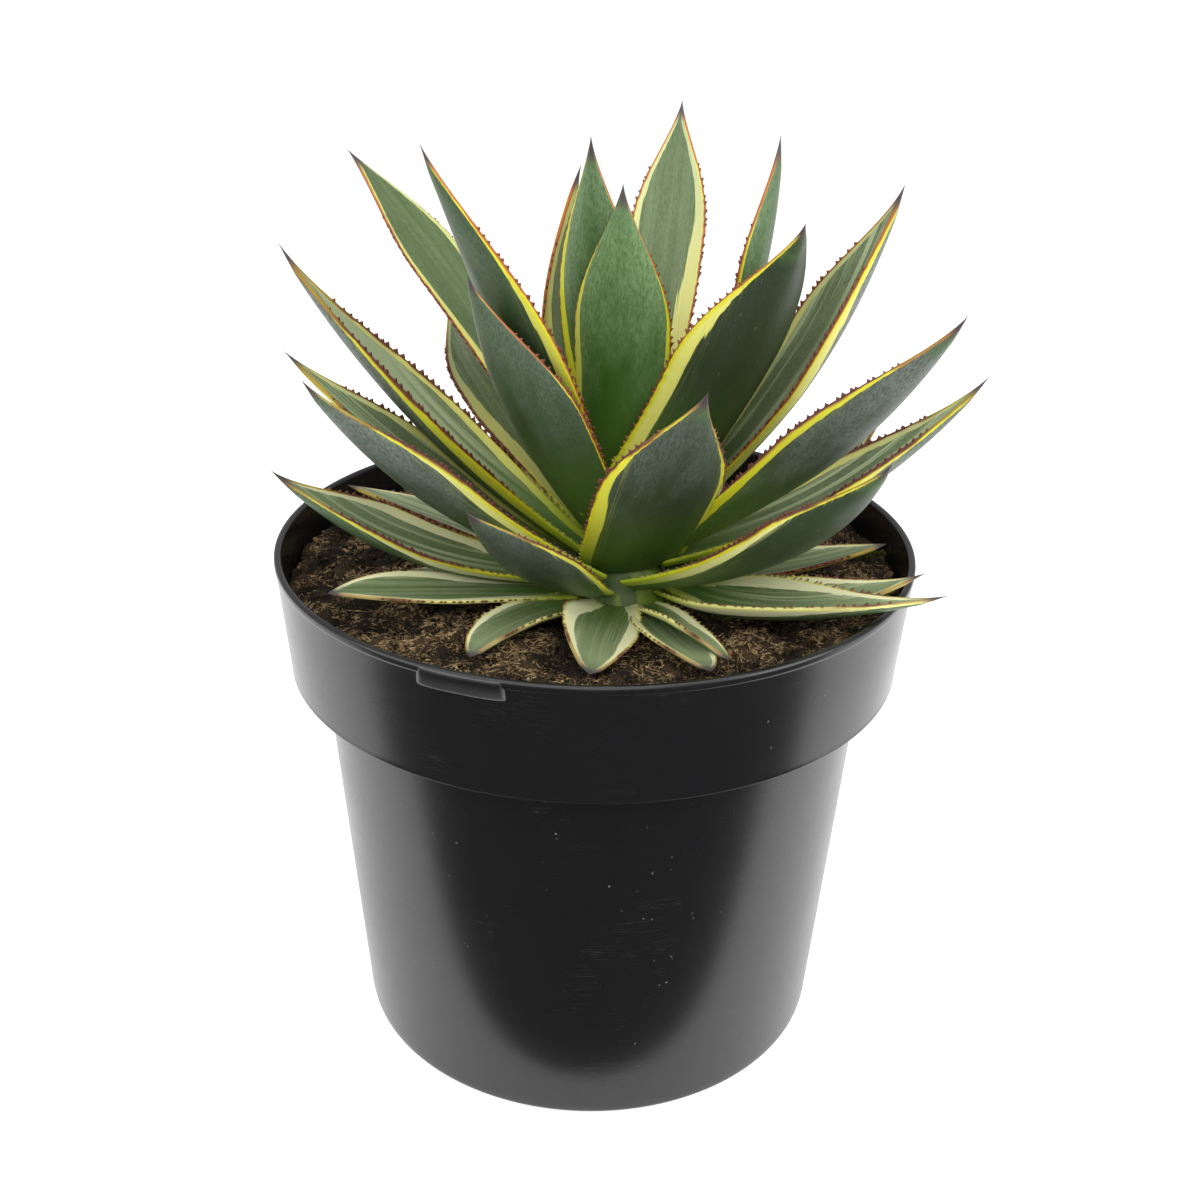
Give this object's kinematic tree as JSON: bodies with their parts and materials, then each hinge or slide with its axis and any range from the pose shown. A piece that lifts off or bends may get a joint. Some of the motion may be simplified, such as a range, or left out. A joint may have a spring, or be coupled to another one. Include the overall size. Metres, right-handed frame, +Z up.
{
  "type": "potted agave",
  "caption": "Variegated agave rosette with toothed, spine-tipped leaves, growing in soil in a round tapered nursery pot with a wide collar.",
  "frame": {"origin": "centre of the flat underside of the pot", "axes": "+Z up along the pot's axis, -Y towards the side seen in the picture"},
  "size_m": [0.2259, 0.21, 0.3087],
  "materials": {
    "pot": "satin black moulded plastic",
    "soil": "rough, crumbly potting mix with fibres",
    "stem": "matt plant tissue",
    "leaf": "waxy, dark green with lemon yellow and cream margins"
  },
  "bodies": {
    "root": {"pot": "pot", "soil": "soil", "stem": "stem", "leaf_01": "leaf", "leaf_02": "leaf", "leaf_03": "leaf", "leaf_04": "leaf", "leaf_05": "leaf", "leaf_06": "leaf", "leaf_07": "leaf", "leaf_08": "leaf", "leaf_09": "leaf", "leaf_10": "leaf", "leaf_11": "leaf", "leaf_12": "leaf", "leaf_13": "leaf", "leaf_14": "leaf", "leaf_15": "leaf", "leaf_16": "leaf", "leaf_17": "leaf", "leaf_18": "leaf", "leaf_19": "leaf", "leaf_20": "leaf", "leaf_21": "leaf", "leaf_22": "leaf", "leaf_23": "leaf", "leaf_24": "leaf", "leaf_25": "leaf", "leaf_26": "leaf", "leaf_27": "leaf", "leaf_28": "leaf", "leaf_29": "leaf", "leaf_30": "leaf", "leaf_31": "leaf", "leaf_32": "leaf", "leaf_33": "leaf", "leaf_34": "leaf", "leaf_35": "leaf", "leaf_36": "leaf", "leaf_37": "leaf", "leaf_38": "leaf", "leaf_39": "leaf", "leaf_40": "leaf"}
  },
  "joints": []
}
